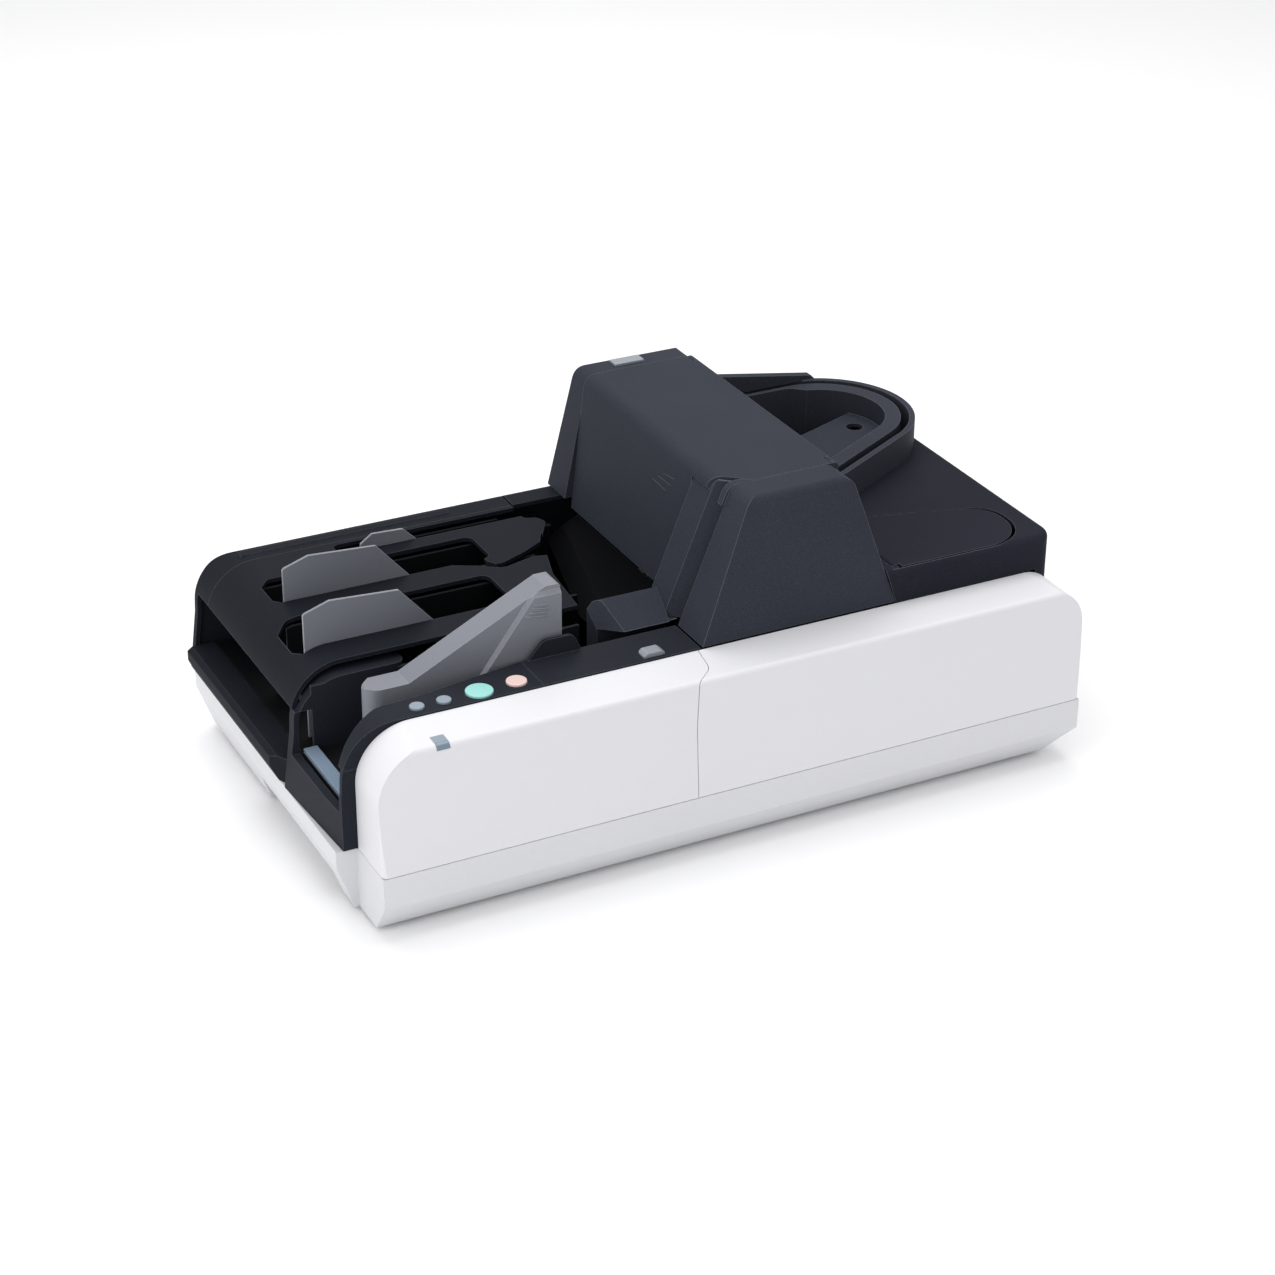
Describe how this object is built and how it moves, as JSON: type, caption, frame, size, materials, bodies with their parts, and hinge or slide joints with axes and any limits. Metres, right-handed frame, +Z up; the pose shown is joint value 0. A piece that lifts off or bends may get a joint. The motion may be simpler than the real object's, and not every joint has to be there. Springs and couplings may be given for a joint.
{
  "type": "cheque scanner",
  "caption": "Desktop cheque scanner: feed hopper with pusher, sorting pockets with sliding guides, hinged hump lid over the reading track, U-shaped turn and ink access lid.",
  "frame": {"origin": "centre of the outline on the surface the feet stand on", "axes": "+X towards the turn end, +Z up, the white operator side faces -Y"},
  "size_m": [0.518, 0.307, 0.2202],
  "materials": {
    "white_body": "fine satin moulded plastic",
    "black_body": "fine-textured black moulded plastic",
    "smoked_plastic": "smoked plastic",
    "window_plastic": "tinted clear plastic",
    "pusher_grey": "light grey moulded plastic",
    "latch_grey": "grey moulded plastic",
    "key_grey": "grey silicone key",
    "key_green": "pale green key",
    "key_orange": "pale orange key",
    "rubber": "moulded rubber",
    "steel": "plated steel",
    "inlet_plastic": "black plastic",
    "board": "printed circuit board"
  },
  "bodies": {
    "machine": {"base_tray": "white_body", "near_front_cover": "white_body", "near_rear_cover": "white_body", "far_side_cover": "black_body", "right_end_cover": "black_body", "pocket_cover": "black_body", "end_shelf": "black_body", "feed_end_frame": "black_body", "control_panel": "black_body", "access_strip": "black_body", "hopper_wall": "black_body", "hopper_tray": "black_body", "pocket_tub": "black_body", "near_tower": "black_body", "hump_rear_wall": "black_body", "far_trim": "black_body", "feed_fairing": "black_body", "feed_chute": "black_body", "track_outer_wall": "black_body", "track_island": "black_body", "rear_deck": "black_body", "scan_frame": "black_body", "ink_cartridge": "black_body", "status_window": "window_plastic", "feed_rest_bar": "window_plastic", "rubber_feet": "rubber", "drive_belt": "rubber", "chassis_plate": "steel", "chassis_screws": "steel", "pusher_rail": "steel", "hump_lid_pin": "steel", "drive_motor": "steel", "usb_port": "steel", "dc_inlet": "inlet_plastic", "image_sensors": "inlet_plastic", "key_board": "board", "main_board": "board"},
    "hump_lid_body": {"hump_lid": "black_body"},
    "access_lid_body": {"access_lid": "black_body"},
    "feed_pusher_body": {"feed_pusher": "pusher_grey"},
    "pocket_guide_1_body": {"pocket_guide_1": "smoked_plastic"},
    "pocket_guide_2_body": {"pocket_guide_2": "smoked_plastic"},
    "pocket_guide_3_body": {"pocket_guide_3": "smoked_plastic"},
    "jog_key_body": {"jog_key": "key_grey"},
    "function_key_body": {"function_key": "key_grey"},
    "start_key_body": {"start_key": "key_green"},
    "stop_key_body": {"stop_key": "key_orange"},
    "release_button_body": {"release_button": "latch_grey"},
    "hump_latch_body": {"hump_latch": "latch_grey"},
    "power_switch_body": {"power_switch": "black_body"},
    "sort_gate_1_body": {"sort_gate_1": "inlet_plastic"},
    "sort_gate_2_body": {"sort_gate_2": "inlet_plastic"},
    "pick_roller_body": {"pick_roller": "rubber"},
    "feed_roller_body": {"feed_roller": "rubber"},
    "retard_roller_body": {"retard_roller": "rubber"},
    "near_drive_roller_body": {"near_drive_roller": "rubber"},
    "near_pinch_roller_body": {"near_pinch_roller": "rubber"},
    "far_drive_roller_body": {"far_drive_roller": "rubber"},
    "far_pinch_roller_body": {"far_pinch_roller": "rubber"},
    "motor_pulley_body": {"motor_pulley": "steel"}
  },
  "joints": [
    {"name": "hump_lid_turn", "type": "hinge", "parent": "machine", "child": "hump_lid_body", "pos_m": [0.107, 0.022, 0.216], "axis": [0, 1, 0], "range_deg": [0, 80]},
    {"name": "access_lid_turn", "type": "hinge", "parent": "machine", "child": "access_lid_body", "pos_m": [0.139, -0.071, 0.148], "axis": [0, -1, 0], "range_deg": [0, 100]},
    {"name": "feed_pusher_slide", "type": "slide", "parent": "machine", "child": "feed_pusher_body", "axis": [0, 1, 0], "range_m": [0, 0.02]},
    {"name": "pocket_guide_1_slide", "type": "slide", "parent": "machine", "child": "pocket_guide_1_body", "axis": [1, 0, 0], "range_m": [0, 0.04]},
    {"name": "pocket_guide_2_slide", "type": "slide", "parent": "machine", "child": "pocket_guide_2_body", "axis": [1, 0, 0], "range_m": [0, 0.04]},
    {"name": "pocket_guide_3_slide", "type": "slide", "parent": "machine", "child": "pocket_guide_3_body", "axis": [1, 0, 0], "range_m": [0, 0.04]},
    {"name": "jog_key_slide", "type": "slide", "parent": "machine", "child": "jog_key_body", "axis": [0, 0, -1], "range_m": [0, 0.0008], "stiffness_N_per_m": 400},
    {"name": "function_key_slide", "type": "slide", "parent": "machine", "child": "function_key_body", "axis": [0, 0, -1], "range_m": [0, 0.0008], "stiffness_N_per_m": 400},
    {"name": "start_key_slide", "type": "slide", "parent": "machine", "child": "start_key_body", "axis": [0, 0, -1], "range_m": [0, 0.0008], "stiffness_N_per_m": 400},
    {"name": "stop_key_slide", "type": "slide", "parent": "machine", "child": "stop_key_body", "axis": [0, 0, -1], "range_m": [0, 0.0008], "stiffness_N_per_m": 400},
    {"name": "release_button_slide", "type": "slide", "parent": "machine", "child": "release_button_body", "axis": [0, 0, -1], "range_m": [0, 0.002], "stiffness_N_per_m": 400},
    {"name": "hump_latch_slide", "type": "slide", "parent": "machine", "child": "hump_latch_body", "axis": [0, 0, -1], "range_m": [0, 0.0025], "stiffness_N_per_m": 500},
    {"name": "power_switch_turn", "type": "hinge", "parent": "machine", "child": "power_switch_body", "pos_m": [0.229, 0.1505, 0.056], "axis": [1, 0, 0], "range_deg": [0, 14]},
    {"name": "sort_gate_1_turn", "type": "hinge", "parent": "machine", "child": "sort_gate_1_body", "pos_m": [-0.005, 0.136, 0.063], "axis": [0, 0, 1], "range_deg": [-20, 20]},
    {"name": "sort_gate_2_turn", "type": "hinge", "parent": "machine", "child": "sort_gate_2_body", "pos_m": [-0.005, 0.115, 0.063], "axis": [0, 0, 1], "range_deg": [-20, 20]},
    {"name": "pick_roller_spin", "type": "hinge", "parent": "machine", "child": "pick_roller_body", "pos_m": [-0.078, -0.088, 0.099], "axis": [0, 0, 1], "continuous": true},
    {"name": "feed_roller_spin", "type": "hinge", "parent": "machine", "child": "feed_roller_body", "pos_m": [-0.035, -0.088, 0.099], "axis": [0, 0, 1], "continuous": true},
    {"name": "retard_roller_spin", "type": "hinge", "parent": "machine", "child": "retard_roller_body", "pos_m": [-0.035, -0.0666, 0.099], "axis": [0, 0, 1], "continuous": true},
    {"name": "near_drive_roller_spin", "type": "hinge", "parent": "machine", "child": "near_drive_roller_body", "pos_m": [0.04029, -0.05498, 0.099], "axis": [0, 0, 1], "continuous": true},
    {"name": "near_pinch_roller_spin", "type": "hinge", "parent": "machine", "child": "near_pinch_roller_body", "pos_m": [0.04911, -0.07113, 0.099], "axis": [0, 0, 1], "continuous": true},
    {"name": "far_drive_roller_spin", "type": "hinge", "parent": "machine", "child": "far_drive_roller_body", "pos_m": [0.09031, -0.02766, 0.099], "axis": [0, 0, 1], "continuous": true},
    {"name": "far_pinch_roller_spin", "type": "hinge", "parent": "machine", "child": "far_pinch_roller_body", "pos_m": [0.09913, -0.0438, 0.099], "axis": [0, 0, 1], "continuous": true},
    {"name": "motor_pulley_spin", "type": "hinge", "parent": "machine", "child": "motor_pulley_body", "pos_m": [0.059, 0.037, 0.029], "axis": [0, 0, 1], "continuous": true}
  ],
  "couplings": [
    {"joint": "far_drive_roller_spin", "follows": "near_drive_roller_spin", "ratio": 1},
    {"joint": "near_pinch_roller_spin", "follows": "near_drive_roller_spin", "ratio": -1},
    {"joint": "far_pinch_roller_spin", "follows": "near_drive_roller_spin", "ratio": -1},
    {"joint": "feed_roller_spin", "follows": "near_drive_roller_spin", "ratio": -0.75},
    {"joint": "pick_roller_spin", "follows": "near_drive_roller_spin", "ratio": -0.75},
    {"joint": "motor_pulley_spin", "follows": "near_drive_roller_spin", "ratio": 1}
  ]
}
